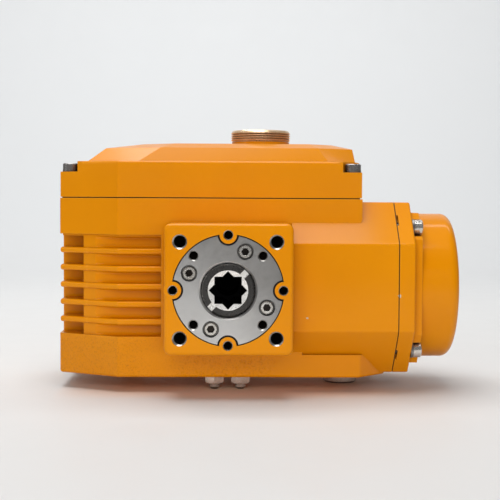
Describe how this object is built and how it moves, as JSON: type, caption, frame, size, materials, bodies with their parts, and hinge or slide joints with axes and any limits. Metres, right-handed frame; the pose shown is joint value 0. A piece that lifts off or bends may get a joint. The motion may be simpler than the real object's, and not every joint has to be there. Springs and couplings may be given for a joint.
{
  "type": "quarter-turn electric valve actuator",
  "caption": "Cast housing with worm drive that turns a star-bored output sleeve a quarter turn inside a square valve mounting flange, with limit switch and terminal chambers.",
  "frame": {"origin": "on the output axis, at the face of the mounting flange", "axes": "-Y out of the mounting flange towards the valve, +X towards the terminal housing, +Z towards the electrical cover"},
  "size_m": [0.2161, 0.115, 0.1423],
  "materials": {
    "orange_casting": "gloss orange paint over cast aluminium, fine orange peel and cast grain",
    "machined_alloy": "face-turned, fine concentric marks",
    "bright_steel": "turned and lightly worn",
    "zinc_steel": "bright zinc plated",
    "dark_steel": "blackened, slightly glossy",
    "spring_steel": "plain spring steel",
    "gear_steel": "cut teeth, oiled",
    "sheet_steel": "zinc plated sheet",
    "bronze": "machined bronze",
    "collar_brass": "bare machined thread, dull",
    "copper_winding": "varnished copper wire",
    "black_rubber": "matte",
    "black_plastic": "fine moulded grain",
    "yellow_plastic": "smooth moulded",
    "grey_plastic": "moulded",
    "clear_window": "clear, polished"
  },
  "bodies": {
    "body": {"gear_housing": "orange_casting", "rating_plate": "sheet_steel", "plate_rivets": "zinc_steel", "electrical_cover": "orange_casting", "cover_gasket": "black_rubber", "sight_collar": "collar_brass", "sight_glass": "clear_window", "terminal_cap": "orange_casting", "cap_gasket": "black_rubber", "cover_screws": "dark_steel", "cover_washers": "dark_steel", "cap_screws": "zinc_steel", "cap_washers": "spring_steel", "output_retainer": "machined_alloy", "retainer_seal": "black_rubber", "retainer_screws": "zinc_steel", "output_seal": "black_rubber", "front_bushing": "bronze", "rear_bushing": "bronze", "worm_bearings": "bright_steel", "motor_can": "sheet_steel", "motor_stator": "gear_steel", "motor_windings": "copper_winding", "motor_bearings": "bright_steel", "bridge_plate": "sheet_steel", "bridge_screws": "zinc_steel", "switch_bracket": "sheet_steel", "limit_switches": "black_plastic", "capacitor": "grey_plastic", "heater": "machined_alloy", "terminal_block": "grey_plastic", "stop_screws": "zinc_steel", "stop_nuts": "zinc_steel", "cable_plug": "zinc_steel", "plug_seal": "black_rubber", "earth_screw": "zinc_steel", "earth_washer": "zinc_steel"},
    "output": {"output_sleeve": "bright_steel", "output_key": "gear_steel", "stop_cam": "gear_steel", "worm_wheel": "bronze", "cam_drive_gear": "gear_steel"},
    "worm": {"worm_shaft": "gear_steel", "worm_gear": "gear_steel"},
    "motor_rotor": {"motor_rotor": "gear_steel", "motor_pinion": "gear_steel"},
    "camshaft": {"camshaft": "bright_steel", "indicator_drum": "yellow_plastic", "cam_gear": "black_plastic", "cam_open": "grey_plastic", "cam_close": "grey_plastic"},
    "open_lever": {"open_lever": "spring_steel"},
    "close_lever": {"close_lever": "spring_steel"}
  },
  "joints": [
    {"name": "worm_turn", "type": "hinge", "parent": "body", "child": "worm", "pos_m": [-0.032, 0.062, 0], "axis": [0, 0, 1], "range_deg": [0, 3600]},
    {"name": "output_turn", "type": "hinge", "parent": "body", "child": "output", "pos_m": [0, 0, 0], "axis": [0, 1, 0], "range_deg": [0, 90]},
    {"name": "motor_turn", "type": "hinge", "parent": "body", "child": "motor_rotor", "pos_m": [-0.053, 0.07991, 0], "axis": [0, 0, 1], "range_deg": [-12960, 0]},
    {"name": "camshaft_turn", "type": "hinge", "parent": "body", "child": "camshaft", "pos_m": [0.0192, 0, 0.04399], "axis": [0, 1, 0], "range_deg": [-164.12, 0]},
    {"name": "open_lever_press", "type": "hinge", "parent": "body", "child": "open_lever", "pos_m": [0.0362, 0.08, 0.0596], "axis": [0, 1, 0], "range_deg": [-1.5, 0], "stiffness_Nm_per_rad": 0.02},
    {"name": "close_lever_press", "type": "hinge", "parent": "body", "child": "close_lever", "pos_m": [0.0362, 0.0858, 0.0596], "axis": [0, 1, 0], "range_deg": [-1.5, 0], "stiffness_Nm_per_rad": 0.02}
  ],
  "couplings": [
    {"joint": "output_turn", "follows": "worm_turn", "ratio": 0.025},
    {"joint": "motor_turn", "follows": "worm_turn", "ratio": -3.6},
    {"joint": "camshaft_turn", "follows": "worm_turn", "ratio": -0.045588}
  ]
}
